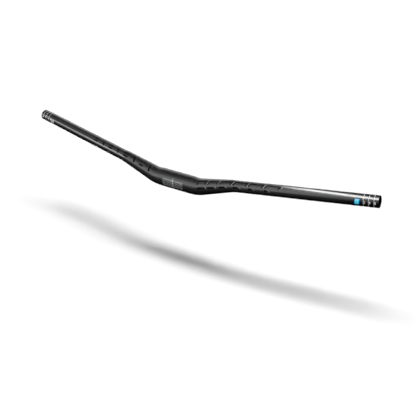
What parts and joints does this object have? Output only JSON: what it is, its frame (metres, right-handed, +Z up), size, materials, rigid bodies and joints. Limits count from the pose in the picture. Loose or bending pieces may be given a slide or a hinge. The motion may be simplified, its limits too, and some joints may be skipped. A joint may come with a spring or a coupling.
{
  "type": "riser handlebar",
  "caption": "Black tube handlebar for a bicycle, thick at the stem clamp, rising and tapering through smooth bends to slim, swept-back, open grip ends.",
  "frame": {"origin": "middle of the stem clamp seat, on its axis", "axes": "+X along the clamp seat to the right end, +Y back towards the rider, +Z up, as fitted on a bicycle"},
  "size_m": [0.8038, 0.0714, 0.074],
  "materials": {
    "tube": "satin black coating",
    "print_white": "white ink",
    "print_grey": "grey ink",
    "print_black": "gloss black ink",
    "print_blue": "sky blue ink"
  },
  "bodies": {
    "root": {"handlebar": "tube"}
  },
  "joints": []
}
